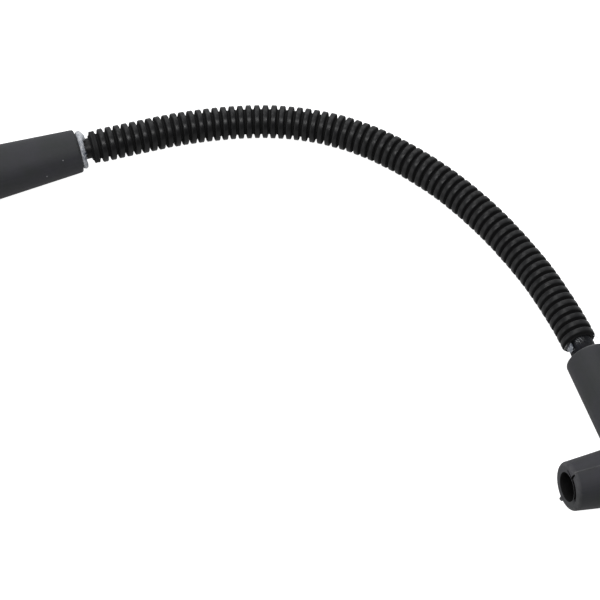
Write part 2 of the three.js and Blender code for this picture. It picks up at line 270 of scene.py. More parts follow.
def turned(name, outline, line, turns, reshape=None, whole=True, smooth_below=40):
    """Carries a closed outline of (radius, distance) round a centreline, or part of the way."""
    radius, along = np.array(outline, float).T
    angle = np.radians(np.array(turns, float))
    rows, columns = len(radius), len(angle)
    r, s = (np.repeat(v[:, None], columns, axis=1) for v in (radius, along))
    a = np.repeat(angle[None, :], rows, axis=0)
    if reshape:
        r, s = reshape(r, s, a)
    place, right, up, _ = line.at(s)
    points = place + r[..., None] * (np.cos(a)[..., None] * right + np.sin(a)[..., None] * up)
    points[..., 2] = np.maximum(points[..., 2], 0)  # the surface that the lead lies on
    faces = []
    for i in range(rows):
        below, above = i * columns, (i + 1) % rows * columns
        for j in range(columns if whole else columns - 1):
            k = (j + 1) % columns
            faces.append((below + j, above + j, above + k, below + k))
    if not whole:
        faces.append(tuple(i * columns for i in reversed(range(rows))))
        faces.append(tuple(i * columns + columns - 1 for i in range(rows)))
    piece = new_piece(name, points.reshape(-1, 3), faces, smooth_below)
    keep_value(piece, "along", s)
    keep_value(piece, "around", np.degrees(a) / 360)
    keep_value(piece, "reach", r)
    return piece


def smooth_step(low, high, value):
    t = np.clip((np.asarray(value, float) - low) / (high - low), 0, 1)
    return t * t * (3 - 2 * t)


def bell(value, middle, width):
    """A smooth bump from 0 to 1 round a middle value."""
    return np.exp(-(((value - middle) / width) ** 2))


def bump_at(turn, middle, width):
    """A smooth bump from 0 to 1 round one side of a turned piece, in degrees."""
    return bell(off_by(np.asarray(turn), middle), 0, width)


def tube_outline(outside, inside, stations, inner_stations=None):
    """Up the outside and back down the bore, with a point at each distance."""
    inner_stations = inner_stations or stations
    return [(outside, x) for x in stations] + [(inside, x) for x in reversed(inner_stations)]


print("turned mesh helpers ready")

# %% [markdown]
# ## The loom
# Corrugated loom is blown from one thin wall, so the bore has ribs too, and a cut end shows the
# wall's edge. Its crests are broad and flat with small round shoulders and the valleys are
# narrow. So a rib is kept as a short table of heights, and the tube's outline takes its points
# where that table turns.

# %% Loom sizes
loom_start = coil_boot_face + loom_from_coil_boot
loom_end = plug_boot_face - loom_from_plug_boot
half_pitch = corrugation_pitch / 2
rib_steps = [0, 0.2, 0.31, 0.43, 0.62, 0.72, 0.84, 1.02, half_pitch]
rib_shares = [0, 0, 0.06, 0.28, 0.74, 0.9, 0.965, 0.995, 0.98]
bore_steps = [0, 0.55, 0.8, 1.25, half_pitch]
bore_thinning = 0.32
loom_sides = 48
whole_pitches = math.floor((loom_end - loom_start) / corrugation_pitch)
last_crest_end = loom_start + whole_pitches * corrugation_pitch


def rib(along, late=0.0):
    """How far the corrugation stands out, from 0 in a valley to 1 on a crest."""
    across = (along - loom_start + half_pitch) % corrugation_pitch - half_pitch
    return np.interp(np.abs(across) - late, rib_steps, rib_shares)


def rib_stations(steps, start, end):
    """Distances that catch the shape of each rib between two ends."""
    count = math.ceil((end - start) / corrugation_pitch)
    both = sorted({*steps, *(corrugation_pitch - x for x in steps[1:-1])})
    stations = [start + k * corrugation_pitch + x for k in range(count) for x in both]
    return [x for x in stations if x < end - 0.02]


print(f"loom of {whole_pitches} whole ribs and a cut one")

# %% [markdown]
# A knife rarely meets the corrugation squarely: the end at the plug boot was cut unevenly, and a
# tongue of the wall is left on one side. The first crest at the other end has closed up a little,
# and no two crests are quite alike.

# %% Loom shape
cut_back = 0.75
cut_tongue = 1.35
tongue_side = 18
tongue_width = 34
cut_noise = 0.15
first_crest_shrink = 0.22
first_crest_width = 1.2
crest_unevenness = 0.02
crest_wander = np.random.default_rng(11).normal(0, crest_unevenness, 200)


def loom_shape(r, s, a):
    """Gives the straight tube its ribs, uneven cut end and slightly uneven crests."""
    outer = r > loom_root - 0.05
    jag = sum(np.sin(k * a + k * k) / k for k in (3, 5, 8, 13))
    tongue = bump_at(np.degrees(a), tongue_side, tongue_width)
    cut = loom_end - cut_back + cut_tongue * tongue + cut_noise * jag
    past = np.clip((s - last_crest_end) / (loom_end - last_crest_end), 0, 1)
    s = np.where(s > last_crest_end, last_crest_end + past * (cut - last_crest_end), s)
    height = np.where(outer, rib(s), rib(s, bore_thinning))
    crest_number = ((s - loom_start) / corrugation_pitch).astype(int).clip(0, len(crest_wander) - 1)
    height = height * (1 + crest_wander[crest_number] - crest_unevenness)
    first = bell(s - loom_start, half_pitch, first_crest_width)
    height = height * (1 - first_crest_shrink * first)
    base = np.where(outer, loom_root, loom_bore)
    return base + (loom_crest - loom_root) * height, s


# %% Loom
torn_side = -0.5  # radians round the loom
tail = np.linspace(last_crest_end, loom_end, 9)
outside = [*rib_stations(rib_steps, loom_start, last_crest_end), *tail]
inside = [*rib_stations(bore_steps, loom_start, last_crest_end), *tail]
loom_outline = tube_outline(loom_root, loom_bore, outside, inside)
loom = turned("loom_sleeve", loom_outline, route, full_turn(loom_sides), loom_shape)
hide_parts("loom")
facing_tear = np.cos(values_of(loom, "around") * 2 * math.pi - torn_side)
near_cut = smooth_step(loom_end - 0.8, loom_end + 0.5, values_of(loom, "along"))
keep_value(loom, "torn", near_cut * smooth_step(0.3, 0.9, facing_tear))
print("loom:", len(loom.data.polygons), "faces,", round(loom_end - loom_start, 1), "mm")

# %% [markdown]
# ## The cable inside
# Only a few millimetres of jacket show between the loom and the boots, but it runs from crimp to
# crimp, so it is one smooth tube over the whole length.

# %% Cable jacket
jacket_bore = 3.2
jacket_stations = list(np.linspace(stripped_length, route.length - stripped_length, 160))
jacket_outline = tube_outline(jacket_radius, jacket_bore, jacket_stations)
jacket = turned("jacket", jacket_outline, route, full_turn(32))
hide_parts("cable_jacket")
print("jacket:", len(jacket.data.polygons), "faces")

# %% [markdown]
# ## Sealant
# Each boot is sealed to the cable by hand. At the coil end it is a pale silicone: lumpy, with a
# torn edge, and scraped thin on one side so that the black below shows through. Noise that is
# fixed by its place makes the lumps the same every time.

# %% Sealant at the coil end
def lumps(r, s, a, size, seed):
    """Smooth fixed noise over a turned piece, from about -1 to 1."""
    flat = zip(np.cos(a).ravel(), np.sin(a).ravel(), s.ravel(), r.ravel())
    values = [noise.noise(Vector((x * size, y * size, 0.55 * z + seed + 0.2 * w))) for x, y, z, w in flat]
    return np.array(values).reshape(r.shape) * 1.6


def layered_lumps(r, s, a, *layers):
    """Adds up lumps of several sizes, each layer given by its share, size and seed."""
    return sum(share * lumps(r, s, a, size, seed) for share, size, seed in layers)


skin_margin = 0.05
coil_bead_radius = 7.3
coil_bead_width = 2.0
coil_bead_lip = 5.0
bead_start = coil_boot_face + seat_gap
blob_side = 118
thin_side = 36


def coil_bead_shape(r, s, a):
    """Lumps that grow towards the bead's free edge, which is torn."""
    skin = r > cable_bore + skin_margin
    turn = np.degrees(a)
    swell = layered_lumps(r, s, a, (1, 2.4, 3.1), (0.6, 6.5, 9.4), (0.35, 15, 5.2))
    free = smooth_step(coil_boot_face + 0.5, coil_boot_face + 2.2, s)
    thinned = 0.5 * free * bump_at(turn, thin_side, 20)
    r = np.where(skin, r + swell * (0.2 + 0.3 * free) - thinned, r)
    torn = layered_lumps(r, s, a, (0.5, 4.2, 21.7), (0.3, 12, 2.7))
    torn = torn + 0.7 * bump_at(turn, blob_side, 24)
    return r, np.where(skin, s + free * torn, s)


bead_shares = ((0, 0.93), (0.15, 0.985), (0.4, 1), (0.65, 0.99), (0.85, 0.95), (0.96, 0.88), (1.02, 0.78))
bead_end = bead_start + coil_bead_width
bead_skin = [(coil_bead_radius * share, bead_start + coil_bead_width * x) for x, share in bead_shares]
bead_outline = [(cable_bore, bead_start), *bead_skin, (coil_bead_lip, bead_end), (cable_bore, bead_end)]
coil_bead = turned(
    "coil_end_bead", bead_outline, route, full_turn(150), coil_bead_shape, smooth_below=60)
turn = values_of(coil_bead, "around") * 360
scraped_off = smooth_step(0.1, 1.2, values_of(coil_bead, "along") - bead_start)
keep_value(coil_bead, "thin", bump_at(turn, thin_side, 27) * scraped_off)
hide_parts("coil_end_sealant")
print("coil end bead:", len(coil_bead.data.polygons), "faces")

# %% [markdown]
# At the plug end the sealant is black and only a thin film on the jacket. It starts under the
# loom, thickens against the boot and has a few pale flecks and one painted glint, whose places are kept as
# a mask.

# %% Film at the plug end
film_radius = 4.68
film_tuck = 1.4
film_lumps = 0.13


def film_shape(r, s, a):
    """Gives the film a low, lumpy skin."""
    swell = layered_lumps(r, s, a, (1, 2.6, 14.2), (0.6, 7.5, 2.4), (0.4, 17, 8.8))
    return np.where(r > cable_bore + skin_margin, r + film_lumps * swell, r), s


film_start = loom_end - film_tuck
film_end = plug_boot_face - seat_gap
level_shares = [(x / 25, 1) for x in range(5, 21)]
film_shares = [(0, 0.92), (0.1, 0.93), (0.17, 0.98), *level_shares, (0.86, 1.02), (0.93, 1.08), (1, 1.2)]
film_skin = [(film_radius * share, film_start + (film_end - film_start) * x) for x, share in film_shares]
film_outline = [(cable_bore, film_start), *film_skin, (cable_bore, film_end)]
film = turned(
    "plug_end_film", film_outline, route, full_turn(120), film_shape, smooth_below=60)
turn = values_of(film, "around") * 360
past_loom = values_of(film, "along") - loom_end
# the second spot, at 30 degrees, is a painted glint
fleck_and_glint_spots = ((1, 78, 16, 0.7, 1.1), (0.9, 30, 6, 2.6, 0.5))
fleck_and_glint_mask = sum(
    share * bump_at(turn, side, width) * bell(past_loom, middle, length)
    for share, side, width, middle, length in fleck_and_glint_spots
)
keep_value(film, "flecks_and_glint", fleck_and_glint_mask + 0.35 * bump_at(turn, 200, 60))
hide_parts("plug_end_sealant")
print("film:", len(film.data.polygons), "faces")

# %% [markdown]
# A scrap of pale silicone hangs on the loom's torn edge, and a stray thread lies beside it. The
# scrap is a turned shell that goes only part of the way round, and the thread is a thin tube.

# %% Scrap and thread
scrap_start = loom_end - 0.1
scrap_length = 3.2
scrap_least = 0.7
scrap_outside = 5.25
scrap_inside = 4.95
scrap_side = 24
scrap_thinness = 0.85


def scrap_shape(r, s, a):
    """Tears the scrap's free edge, so that a tongue is left in its middle."""
    share = (s - scrap_start) / scrap_length
    off_middle = np.abs(off_by(np.degrees(a), 0) - scrap_side)
    edge = 1 - smooth_step(4, 34, off_middle) + 0.3 * lumps(r, s, a, 9, 6.1)
    along = scrap_start + share * (scrap_least + (scrap_length - scrap_least) * np.clip(edge, 0, 1))
    return r + 0.35 * share * lumps(r, s, a, 6, 17.3), along


scrap_rows = [scrap_start + scrap_length * x for x in (0, 0.2, 0.4, 0.6, 0.8, 0.95)]
scrap_outline = tube_outline(scrap_outside, scrap_inside, scrap_rows)
scrap_turns = list(range(-18, 39, 2))
scrap = turned(
    "loose_sealant_scrap", scrap_outline, route, scrap_turns, scrap_shape, whole=False)
keep_value(scrap, "thin", [scrap_thinness] * len(scrap.data.vertices))

thread_radius = 0.13
thread_hole = 0.02
thread_taper = 0.6
thread_places = [(-5.9, 5.9, 150), (-5.4, 6.5, 158), (-4.8, 6.7, 163), (-4.1, 6.6, 166), (-3.5, 6.3, 168)]
thread_points = []
for along, radius, turn in thread_places:
    place, right, up, _ = route.at(plug_boot_face + along)
    angle = math.radians(turn)
    thread_points.append(place + radius * (math.cos(angle) * right + math.sin(angle) * up))
thread_line = Centreline(centripetal_spline(thread_points, samples=6))
thread_stations = list(np.linspace(0, thread_line.length, 25))
thread_outline = [(thread_radius * (1 - thread_taper * x / thread_line.length), x) for x in thread_stations]
thread_outline += [(thread_hole, x) for x in reversed(thread_stations)]
thread = turned("stray_thread", thread_outline, thread_line, full_turn(8))
print("scrap and thread:", len(scrap.data.polygons), "and", len(thread.data.polygons), "faces")

# %% [markdown]
# ## The cord as a whole
# Seen from outside, the cord is the loom with the cable inside it. It starts at the coil boot's
# face and goes back into the object at the plug boot, and it is springy enough to hold its arc.
# Here only its path is taken, every 2 mm from the loom's start to its end.

cord_stations = np.arange(loom_start, loom_end + 0.01, 2.0)
cord_path = route.at(cord_stations)[0] * MM

# %% [markdown]
# ## The coil boot
# The straight boot is a moulded sleeve: a snug neck round the cable, a long taper to a barrel and
# a socket that pushes over the coil's tower. All its edges are eased, because rubber doesn't mould
# sharp. The mould's halves leave a faint line along each side.

# %% Boot helpers
def edge_arc(radius, along, size, at_mouth, steps=6):
    """Points of a quarter round between a cylinder of this radius and a flat end."""
    sign = 1 if at_mouth else -1
    points = []
    for k in range(steps + 1):
        t = math.radians(90 * k / steps)
        points.append((radius - size * (1 - math.cos(t)), along + sign * size * (math.sin(t) - 1)))
    return points if at_mouth else points[::-1]


def between(start, end, count):
    """Points strictly between two outline points, so that a long side can carry fine detail."""
    return [
        tuple(a + (b - a) * i / (count + 1) for a, b in zip(start, end))
        for i in range(1, count + 1)
    ]


def neck_bore(crimp_start):
    """The last points of a boot's outline: the back of the crimp's cavity and the neck's bore."""
    back = crimp_start - seat_gap
    return [(crimp_cavity, back), (cable_bore, back), (cable_bore, 0)]


def parting_line(r, a, skin, angles, height, width=0.22):
    """A thin raised line along a moulded skin at each given angle."""
    for at in angles:
        off = (a - math.radians(at) + math.pi) % (2 * math.pi) - math.pi
        r = np.where(skin, r + height * np.exp(-((off * r / width) ** 2)), r)
    return r


def line_turns(sides, angles, beside=(-2.4, -1.3, 0, 1.3, 2.4)):
    """A whole turn with close angles round each parting line."""
    return full_turn(sides, [at + off for at in angles for off in beside])


print("boot helpers ready")

# %% Coil boot
coil_crimp_start = coil_insertion - crimp_grip
tower_start = coil_boot_length - tower_socket_depth
neck_arc = edge_arc(coil_neck_radius, 0, edge_round, False)
mouth_arc = edge_arc(coil_boot_radius, coil_boot_length, edge_round, True)
taper_end = (coil_boot_radius, coil_taper_length)
coil_outline = [
    *neck_arc,
    *between(neck_arc[-1], taper_end, 16),
    taper_end,
    *between(taper_end, mouth_arc[0], 14),
    *mouth_arc,
    (tower_socket_radius + bore_chamfer, coil_boot_length),
    (tower_socket_radius + 0.15 * bore_chamfer, coil_boot_length - 0.35 * bore_chamfer),
    (tower_socket_radius, coil_boot_length - bore_chamfer),
    (tower_socket_radius, tower_start),
    (crimp_cavity, tower_start),
    *neck_bore(coil_crimp_start),
]
coil_line = Centreline([on_coil_axis(-x) for x in np.linspace(0, coil_boot_length, 60)])
coil_parting = (31, 211)
coil_parting_height = 0.06


def coil_boot_shape(r, s, a):
    """Adds the two faint parting lines."""
    skin = (r > coil_neck_radius - 0.02) & (s > edge_round - 0.01)
    return parting_line(r, a, skin, coil_parting, coil_parting_height), s


coil_turns = line_turns(96, coil_parting)
coil_boot = turned("coil_boot_skin", coil_outline, coil_line, coil_turns, coil_boot_shape)
line_side = sum(bump_at(values_of(coil_boot, "around") * 360, at, 1.5) for at in coil_parting)
keep_value(coil_boot, "paler_and_painted_highlight", 0.3 * line_side * (values_of(coil_boot, "reach") > coil_neck_radius))
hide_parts("coil_boot")
print("coil boot:", len(coil_boot.data.polygons), "faces")

# %% [markdown]
# ## The plug boot
# The right-angle boot is the same kind of sleeve with an elbow in it, so its centreline is made of
# a straight leg for the cable, an arc and a straight leg for the spark plug. The cable leg slopes
# down a little to the neck, because the boot rests on its elbow, and the mouth is lifted.

# %% Plug boot's centreline
cable_leg = direction(plug_heading, plug_rise)
level_side = np.cross(direction(plug_heading), SKY)
upright = np.cross(level_side, cable_leg)
plug_leg = direction(math.degrees(leg_turn), plug_leg_lift)
plug_leg = plug_leg[0] * cable_leg - plug_leg[1] * level_side + plug_leg[2] * upright
leg_angle = math.acos(float(cable_leg @ plug_leg))
corner_to_bend = elbow_bend * math.tan(leg_angle / 2)
plug_start = np.array(on_plug_axis(0))
plug_corner = plug_start + cable_leg * cable_leg_length
bend_start = plug_corner - cable_leg * corner_to_bend
bend_inward = plug_leg - (plug_leg @ cable_leg) * cable_leg
bend_inward *= elbow_bend / np.linalg.norm(bend_inward)
plug_points = [plug_start + (bend_start - plug_start) * k / 60 for k in range(60)]
for k in range(121):
    turn = leg_angle * k / 120
    plug_points.append(
        bend_start + bend_inward * (1 - math.cos(turn)) + cable_leg * elbow_bend * math.sin(turn))
bend_end = plug_points[-1]
plug_mouth = plug_corner + plug_leg * plug_leg_length
plug_points += [bend_end + (plug_mouth - bend_end) * k / 60 for k in range(1, 61)]
plug_line = Centreline(plug_points)
bend_to = bend_from + elbow_bend * leg_angle
print(f"plug boot's centreline {plug_line.length:.1f} mm, elbow of {math.degrees(leg_angle):.1f} degrees")

# %% [markdown]
# A groove is sunk into the mouth's face beside the bore. It starts at the mould's parting line with
# a small V and runs down one side, and a narrow arm goes a little way up the other. It is a mask
# that pushes the mesh's points inwards and later picks the faces for the socket's darker finish, a
# painted shade in the groove.

# %% Mouth groove
plug_parting = (85.5, 265.5)
groove_depth = 1.5
groove_lip = 5.5
groove_reach = 6.7
wall_width = 0.16
notch_side = 88.7
notch_lip = 5.4
notch_reach = 8.0
groove_fade = (150, 190)
arm_start = (56, 63)
arm_turns = (60, 74, notch_side)
arm_lips = (5.95, 5.6, 5.35)
arm_width = 0.65
arm_share = 0.8


def plug_boot_shape(r, s, a):
    """Adds the parting lines on the plug leg and sinks the groove."""
    turn = np.degrees(a)
    skin = (r > plug_neck_radius - 0.02) & (s > plug_neck_round) & (s < plug_line.length - 0.3)
    wander = 0.5 + 0.5 * np.sin(1.9 * s) * np.sin(0.7 * s + 1)
    r = parting_line(r, a, skin, plug_parting, (0.16 + 0.14 * wander) * smooth_step(bend_from, bend_to, s))
    return r, s - groove_depth * mouth_groove(r, s, turn)


def mouth_groove(r, s, turn):
    """How deep the face beside the bore is sunk, from 0 to 1."""
    face = (s > plug_line.length - 0.6) & (r > insulator_socket_radius + 0.05)
    past_notch = smooth_step(notch_side + 2.5, notch_side + 7, turn)
    lip = notch_lip + (groove_lip - notch_lip) * past_notch
    rim = notch_reach + (groove_reach - notch_reach) * past_notch
    wide = smooth_step(lip, lip + wall_width, r) * (1 - smooth_step(rim, rim + wall_width, r))
    wide = wide * smooth_step(notch_side - 1, notch_side, turn) * (1 - smooth_step(*groove_fade, turn))
    arm = np.interp(turn, arm_turns, arm_lips)
    narrow = smooth_step(arm, arm + wall_width, r) * (1 - smooth_step(arm + arm_width, arm + 0.8, r))
    narrow = narrow * smooth_step(*arm_start, turn) * (1 - smooth_step(notch_side - 1, notch_side, turn))
    return face * np.maximum(wide, arm_share * narrow)


print("groove", groove_depth, "mm deep, from", groove_lip, "to", groove_reach, "mm off the axis")

# %% Plug boot
plug_crimp_start = plug_insertion - crimp_grip
cavity_end = plug_crimp_start + crimp_length + shoulder_length
insulator_start = plug_line.length - insulator_socket_depth
plug_neck_arc = edge_arc(plug_neck_radius, 0, plug_neck_round, False)
plug_mouth_arc = edge_arc(plug_mouth_radius, plug_line.length, mouth_round, True, steps=10)
face_radii = np.arange(7.0, 5.25, -0.1)
plug_outline = [
    *plug_neck_arc,
    *between(plug_neck_arc[-1], (elbow_radius, bend_from), 14),
    *((elbow_radius, bend_from + (bend_to - bend_from) * k / 24) for k in range(25)),
    *between((elbow_radius, bend_to), plug_mouth_arc[0], 10),
    *plug_mouth_arc,
    *((x, plug_line.length) for x in face_radii),
    (insulator_socket_radius + 0.2 * bore_chamfer, plug_line.length - 0.3 * bore_chamfer),
    (insulator_socket_radius, plug_line.length - bore_chamfer),
    *between((insulator_socket_radius, plug_line.length), (insulator_socket_radius, insulator_start), 5),
    (insulator_socket_radius, insulator_start),
    (cable_bore, insulator_start),
    *between((cable_bore, insulator_start), (cable_bore, cavity_end), 16),
    (cable_bore, cavity_end),
    (crimp_cavity, cavity_end),
    *neck_bore(plug_crimp_start),
]
plug_turns = line_turns(120, plug_parting, (-2.4, -1.3, 0, 1.3, 2.2, 3.2, 4.5, 6, 8))
plug_boot = turned("plug_boot_skin", plug_outline, plug_line, plug_turns, plug_boot_shape)
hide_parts("plug_boot")
print("plug boot:", len(plug_boot.data.polygons), "faces")

# %% [markdown]
# Rubber pales where it rubs along the parting line. The top of the neck's rim is paler too, and
# round the mouth a painted highlight lightens the rim. These places are kept as one mask, and the
# sunk groove as another.

# %% Paler places and painted highlight of the plug boot
turn = values_of(plug_boot, "around") * 360
along = values_of(plug_boot, "along")
reach = values_of(plug_boot, "reach")
on_mouth_leg = smooth_step(bend_from, bend_to, along) * (reach > plug_neck_radius)
neck_rim = bump_at(turn, 95, 32) * bell(along, 0.35, 0.5) * (reach > plug_neck_radius - plug_neck_round)
# painted highlight: the mouth's rim is lightened as if lit
painted_mouth_highlight = bell(reach, 8.0, 0.7) * (along > plug_line.length - mouth_round)
sunk = mouth_groove(reach, np.full_like(reach, plug_line.length), turn) * (along < plug_line.length - 0.45)
sunk = sunk * (along > plug_line.length - groove_depth - 0.6)
line_rub = 0.6 * sum(bump_at(turn, at, 1.3) for at in plug_parting) * on_mouth_leg
pale_marks_and_highlight = line_rub + 1.1 * neck_rim + 0.3 * painted_mouth_highlight * (1 - sunk)
keep_value(plug_boot, "paler_and_painted_highlight", pale_marks_and_highlight)
print("rubbed points:", int((pale_marks_and_highlight > 0.1).sum()))

# %% [markdown]
# The nib of flash is a crumb of rubber on the rim. It starts as a small ball from bmesh, and the
# same fixed noise makes it lumpy.

# %% Nib of flash
nib_ball = bmesh.new()
bmesh.ops.create_icosphere(nib_ball, subdivisions=4, radius=1)
nib_depth = 0.15
nib_side = math.radians(266)
nib_reach = 7.45
nib_size = (0.85, 0.8, 0.85)
place, right, up, ahead = plug_line.at(plug_line.length - nib_depth)
outward = math.cos(nib_side) * right + math.sin(nib_side) * up
crosswise = np.cross(ahead, outward)
nib_points = []
for point in nib_ball.verts:
    swell = 1 + 0.35 * noise.noise(point.co * 1.6 + Vector((3, 1, 7))) + 0.2 * noise.noise(point.co * 4)
    x, y, z = (size * c for size, c in zip(nib_size, point.co * swell))
    nib_points.append(place + (nib_reach + x) * outward + y * crosswise + z * ahead)
nib_faces = [[v.index for v in face.verts] for face in nib_ball.faces]
nib_ball.free()
nib = new_piece("nib_of_flash", nib_points, nib_faces)
keep_value(nib, "paler_and_painted_highlight", [0.4] * len(nib_points))
keep_value(nib, "reach", [plug_mouth_radius] * len(nib_points))
print("nib:", len(nib.data.polygons), "faces")

# %% [markdown]
# ## Finishes
# Every surface gets its colour, gloss and fine relief from nodes. Four effects serve several
# finishes, so each is a shader node group with its own inputs: moulded grain, lengthwise streaks,
# stray specks and drawn-metal scratches.

# %% Node helpers
def node_group(name, inputs, outputs):
    """A shader node group with named number sockets, and the sockets to link inside it."""
    group = bpy.data.node_groups.new(name, "ShaderNodeTree")
    for label, value in inputs.items():
        socket = group.interface.new_socket(name=label, in_out="INPUT", socket_type="NodeSocketFloat")
        socket.default_value = value
    for label in outputs:
        group.interface.new_socket(name=label, in_out="OUTPUT", socket_type="NodeSocketFloat")
    return group, group.nodes.new("NodeGroupInput").outputs, group.nodes.new("NodeGroupOutput").inputs


def node(tree, kind, settings=None, **values):
    """Adds a node, sets its own settings, then its inputs by name, which may be links."""
    made = tree.nodes.new(kind)
    for key, value in (settings or {}).items():
        setattr(made, key, value)
    for key, value in values.items():
        socket = made.inputs[int(key[1:]) if key[0] == "i" and key[1:].isdigit() else key.replace("_", " ")]
        if isinstance(value, bpy.types.NodeSocket):
            tree.links.new(value, socket)
        else:
            socket.default_value = value
    return made


def calculate(tree, operation, first, second=0.0, third=None):
    values = {"i0": first, "i1": second}
    if third is not None:
        values["i2"] = third
    return node(tree, "ShaderNodeMath", {"operation": operation}, **values).outputs[0]


def times(tree, first, second):
    return calculate(tree, "MULTIPLY", first, second)


def spread(tree, value, low, high, to_low=0.0, to_high=1.0):
    """Maps a range of a value onto another range, with its ends held."""
    return node(tree, "ShaderNodeMapRange", {"clamp": True}, Value=value, From_Min=low, From_Max=high,
                To_Min=to_low, To_Max=to_high).outputs["Result"]


def kept(tree, name):
    return node(tree, "ShaderNodeAttribute", {"attribute_name": name}).outputs["Fac"]


def noise_of(tree, vector, scale, detail=3.0, roughness=0.55):
    return node(tree, "ShaderNodeTexNoise", Vector=vector, Scale=scale, Detail=detail,
                Roughness=roughness).outputs["Fac"]


def object_place(tree):
    return node(tree, "ShaderNodeTexCoord").outputs["Object"]


print("node helpers ready")

# %% [markdown]
# Moulded rubber and plastic copy the fine texture of their mould. The grain group gives that
# texture as a height, and a slow mottle that shifts colour and gloss over centimetres.

# %% Grain group
grain, grain_in, grain_out = node_group(
    "moulded_grain", {"Scale": 1200.0, "Mottle Scale": 90.0}, ["Height", "Mottle"])
place = object_place(grain)
fine = noise_of(grain, place, grain_in["Scale"], 2.0, 0.6)
coarse = noise_of(grain, place, times(grain, grain_in["Scale"], 0.31), 2.0, 0.5)
most_of_it = times(grain, fine, 0.6)
height = calculate(grain, "MULTIPLY_ADD", coarse, 0.4, most_of_it)
grain.links.new(height, grain_out["Height"])
slow = noise_of(grain, place, grain_in["Mottle Scale"], 4.0, 0.6)
grain.links.new(spread(grain, slow, 0.33, 0.67), grain_out["Mottle"])
print("group:", grain.name)

# %% [markdown]
# Handling and release agent leave faint streaks along a boot, and a torn bead of silicone is
# streaked too. The streak group stretches noise along the piece with the distance values that
# each turned mesh carries.

# %% Streak group
streak, streak_in, streak_out = node_group(
    "streaks", {"Across": 60.0, "Lengthwise": 0.08, "Detail": 3.0}, ["Streak"])
around = times(streak, kept(streak, "around"), 2 * math.pi)
across, lengthwise = streak_in["Across"], streak_in["Lengthwise"]
swing = node(streak, "ShaderNodeCombineXYZ",
             X=times(streak, calculate(streak, "COSINE", around), across),
             Y=times(streak, calculate(streak, "SINE", around), across),
             Z=times(streak, kept(streak, "along"), lengthwise))
streaked = noise_of(streak, swing.outputs["Vector"], 1.0, streak_in["Detail"], 0.6)
streak.links.new(spread(streak, streaked, 0.35, 0.65), streak_out["Streak"])
print("group:", streak.name)

# %% [markdown]
# A few grains of dust and chalky specks sit on any black part. The speck group scatters cells and
# keeps a tiny spot in the few cells whose random value is high enough.

# %% Speck group
speck, speck_in, speck_out = node_group("specks", {"Scale": 350.0, "Size": 0.12, "Share": 0.04}, ["Speck"])
cells = node(speck, "ShaderNodeTexVoronoi", Vector=object_place(speck), Scale=speck_in["Scale"])
spot = calculate(speck, "LESS_THAN", cells.outputs["Distance"], speck_in["Size"])
colour_parts = node(speck, "ShaderNodeSeparateColor", Color=cells.outputs["Color"])
chosen = calculate(speck, "LESS_THAN", colour_parts.outputs["Red"], speck_in["Share"])
speck.links.new(times(speck, spot, chosen), speck_out["Speck"])
print("group:", speck.name)

# %% [markdown]
# Sheet and wire are drawn through tools, which leaves hairline scratches one way. The scratch
# group is fine noise squeezed in one direction, used for relief and for gloss.

# %% Scratch group
scratch, scratch_in, scratch_out = node_group(
    "drawn_scratches", {"Scale": 900.0, "Stretch": 0.05}, ["Scratch"])
squeeze = node(scratch, "ShaderNodeVectorMath", {"operation": "MULTIPLY"})
scratch.links.new(object_place(scratch), squeeze.inputs[0])
ratio = node(scratch, "ShaderNodeCombineXYZ", X=scratch_in["Stretch"], Y=1.0, Z=1.0)
scratch.links.new(ratio.outputs["Vector"], squeeze.inputs[1])
drawn = noise_of(scratch, squeeze.outputs["Vector"], scratch_in["Scale"], 4.0, 0.65)
scratch.links.new(spread(scratch, drawn, 0.3, 0.7), scratch_out["Scratch"])
print("group:", scratch.name)

# %% [markdown]
# Each finish is one Principled shader. Values that are the same all over sit on its own sockets,
# and the groups feed only what changes over the surface: colour, roughness and relief.

# %% Finish helpers
def use_group(tree, group, **values):
    """Places a group in a material with its own values and gives its outputs."""
    made = node(tree, "ShaderNodeGroup", {"node_tree": group})
    for key, value in values.items():
        made.inputs[key.replace("_", " ")].default_value = value
    return made.outputs


def new_finish(name, **fixed):
    """A material with one Principled shader whose steady values sit on its own sockets."""
    material = bpy.data.materials.new(name)
    material.use_nodes = True
    tree = material.node_tree
    shader = tree.nodes["Principled BSDF"]
    for key, value in fixed.items():
        shader.inputs[key.replace("_", " ")].default_value = value
    return material, tree, shader


def blend_colours(tree, factor, first, second):
    mix = node(tree, "ShaderNodeMix", {"data_type": "RGBA"})
    for index, value in ((0, factor), (6, first), (7, second)):
        if isinstance(value, bpy.types.NodeSocket):
            tree.links.new(value, mix.inputs[index])
        elif index:
            mix.inputs[index].default_value = (*value, 1)
        else:
            mix.inputs[index].default_value = value
    return mix.outputs[2]


def connect(tree, shader, **links):
    for key, socket in links.items():
        tree.links.new(socket, shader.inputs[key.replace("_", " ")])


def relief(tree, shader, height, strength, distance):
    bump = node(tree, "ShaderNodeBump", Height=height, Strength=strength, Distance=distance)
    tree.links.new(bump.outputs["Normal"], shader.inputs["Normal"])


def moulded_finish(name, specular, scales, colours, rough, bump):
    """A plain moulded surface: mottled between two colours and two roughnesses, with its grain."""
    material, tree, shader = new_finish(name, Specular_IOR_Level=specular)
    surface = use_group(tree, grain, Scale=scales[0], Mottle_Scale=scales[1])
    mottle = surface["Mottle"]
    tone = blend_colours(tree, mottle, *colours)
    connect(tree, shader, Base_Color=tone, Roughness=spread(tree, mottle, 0, 1, *rough))
    relief(tree, shader, surface["Height"], *bump)
    return material


print("finish helpers ready")
